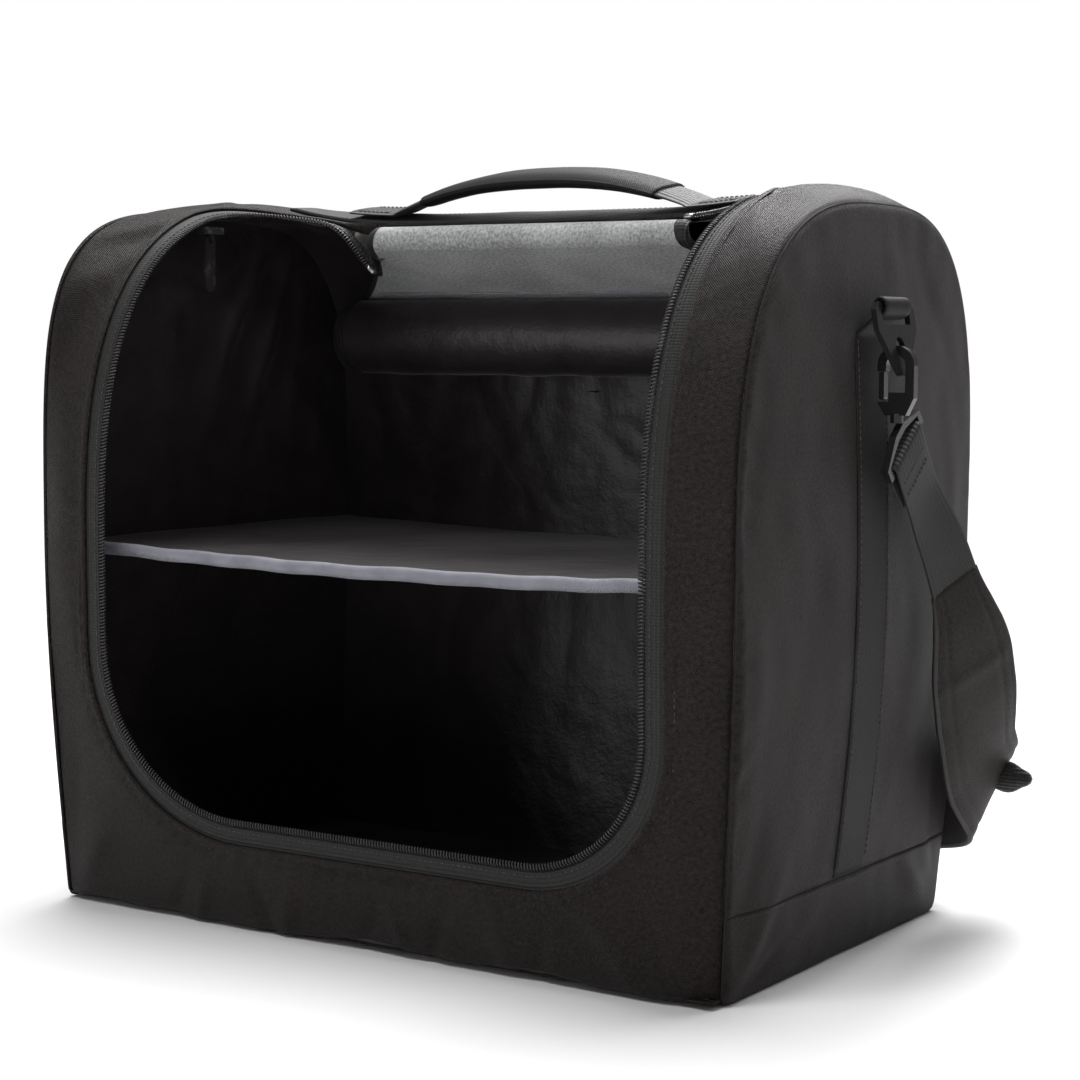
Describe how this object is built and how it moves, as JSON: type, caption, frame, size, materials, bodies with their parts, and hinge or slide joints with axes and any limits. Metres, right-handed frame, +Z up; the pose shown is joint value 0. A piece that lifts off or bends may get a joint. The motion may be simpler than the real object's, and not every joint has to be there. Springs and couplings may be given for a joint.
{
  "type": "cap carrier bag",
  "caption": "Soft box carrier with arched sides, a zipped front rolled up inside, a cloth shelf, a carry handle and a padded shoulder strap on snap hooks.",
  "frame": {"origin": "middle of the base, on the floor", "axes": "+X to the case's right as seen from the front, +Y from the front to the back, +Z up"},
  "size_m": [0.5464, 0.3197, 0.435],
  "materials": {
    "shell_cloth": "matt woven polyester",
    "lining_cloth": "satin lining",
    "flap_cloth": "matt knitted cloth over foam",
    "webbing": "ribbed webbing",
    "piping_cloth": "silver-grey satin piping",
    "zip_plastic": "moulded coil",
    "moulded_plastic": "semi-gloss moulding",
    "black_metal": "black painted casting"
  },
  "bodies": {
    "case": {"base_panel": "shell_cloth", "main_band": "shell_cloth", "rear_panel": "shell_cloth", "side_base_right": "shell_cloth", "side_base_left": "shell_cloth", "side_panel_right": "shell_cloth", "side_panel_left": "shell_cloth", "shoulder_pad": "shell_cloth", "lining": "lining_cloth", "shelf": "lining_cloth", "door_flap": "flap_cloth", "top_binding": "webbing", "carry_handle": "webbing", "handle_grip": "webbing", "side_webbing_right": "webbing", "side_webbing_left": "webbing", "shoulder_strap_right": "webbing", "shoulder_strap_left": "webbing", "zipper_tape": "webbing", "shelf_piping": "piping_cloth", "zipper_coil": "zip_plastic", "strap_ring_right": "moulded_plastic", "strap_ring_left": "moulded_plastic", "snap_hook_right": "moulded_plastic", "snap_hook_left": "moulded_plastic", "hook_eye_right": "moulded_plastic", "hook_eye_left": "moulded_plastic", "pad_keeper": "moulded_plastic", "zipper_slider_right": "black_metal", "zipper_slider_left": "black_metal"},
    "gate_right": {"hook_gate_right": "moulded_plastic"},
    "gate_left": {"hook_gate_left": "moulded_plastic"},
    "pull_right": {"zipper_pull_right": "black_metal"},
    "pull_left": {"zipper_pull_left": "black_metal"}
  },
  "joints": [
    {"name": "gate_right_spring", "type": "hinge", "parent": "case", "child": "gate_right", "pos_m": [0.24373, 0.005, 0.3029], "axis": [0, 1, 0], "range_deg": [0, 25], "stiffness_Nm_per_rad": 0.03, "springref_deg": -11.46},
    {"name": "gate_left_spring", "type": "hinge", "parent": "case", "child": "gate_left", "pos_m": [-0.24373, 0.005, 0.3029], "axis": [0, -1, 0], "range_deg": [0, 25], "stiffness_Nm_per_rad": 0.03, "springref_deg": -11.46},
    {"name": "pull_right_swing", "type": "hinge", "parent": "case", "child": "pull_right", "pos_m": [0.1817, -0.0415, 0.3919], "axis": [0, 1, 0], "range_deg": [-80, 80]},
    {"name": "pull_left_swing", "type": "hinge", "parent": "case", "child": "pull_left", "pos_m": [-0.1817, -0.0415, 0.3919], "axis": [0, 1, 0], "range_deg": [-80, 80]}
  ]
}
